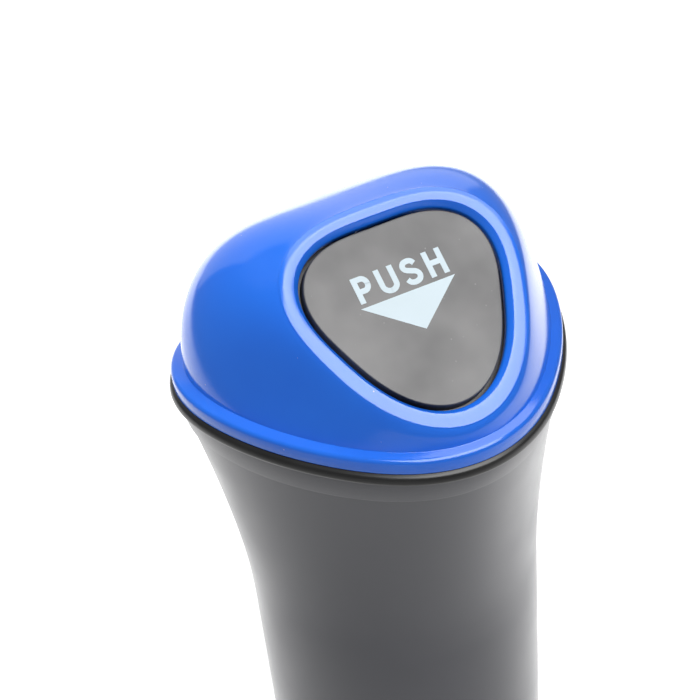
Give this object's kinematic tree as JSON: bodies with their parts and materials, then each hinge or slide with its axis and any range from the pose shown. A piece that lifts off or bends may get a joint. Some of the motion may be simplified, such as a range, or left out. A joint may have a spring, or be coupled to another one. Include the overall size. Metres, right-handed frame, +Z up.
{
  "type": "car trash bin",
  "caption": "Slim car bin with a flared three-cornered mouth, a lift-off domed hood and a sprung push flap that swings inward.",
  "frame": {"origin": "centre of the foot, on the surface that the bin stands on", "axes": "+Z up along the tub, -Y to the front where the face slopes down, +X to the right seen from behind"},
  "size_m": [0.0976, 0.0904, 0.1943],
  "materials": {
    "tub_plastic": "semi-gloss dark grey moulded plastic",
    "ring_plastic": "satin black moulded plastic",
    "hood_plastic": "high-gloss blue moulded plastic",
    "flap_plastic": "satin warm grey moulded plastic with a pale print",
    "pin_steel": "bright drawn steel",
    "spring_steel": "spring wire"
  },
  "bodies": {
    "bin": {"bin_body": "tub_plastic", "rim_ring": "ring_plastic"},
    "hood": {"hood": "hood_plastic", "hinge_pin": "pin_steel", "return_spring": "spring_steel"},
    "flap": {"push_flap": "flap_plastic"}
  },
  "joints": [
    {"name": "hood_lift", "type": "slide", "parent": "bin", "child": "hood", "axis": [0, 0, 1], "range_m": [0, 0.05]},
    {"name": "flap_hinge", "type": "hinge", "parent": "hood", "child": "flap", "pos_m": [0, -0.00136, 0.1873], "axis": [1, 0, 0], "range_deg": [0, 60], "stiffness_Nm_per_rad": 0.008, "springref_deg": -28.65, "deforming": ["return_spring"]}
  ]
}
